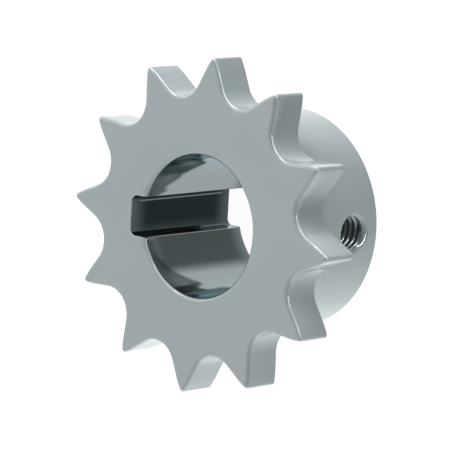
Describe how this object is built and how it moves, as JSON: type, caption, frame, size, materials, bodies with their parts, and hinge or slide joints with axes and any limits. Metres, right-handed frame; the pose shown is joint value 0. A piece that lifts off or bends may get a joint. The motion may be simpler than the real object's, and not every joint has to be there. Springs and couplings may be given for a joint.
{
  "type": "roller chain sprocket",
  "caption": "Toothed wheel for roller chain, with a hub on one side, a keyed bore and a radial set-screw hole opposite the keyway.",
  "frame": {"origin": "on the bore's axis, at the hub's end face", "axes": "+Z along the bore's axis, from the hub towards the toothed plate; the keyway is towards -X and the set-screw hole towards +X"},
  "size_m": [0.0656, 0.0656, 0.0292],
  "materials": {
    "enamel": "glossy blue-grey enamel on steel, slightly wavy; the bore and the keyway are darker"
  },
  "bodies": {
    "root": {"sprocket": "enamel"}
  },
  "joints": []
}
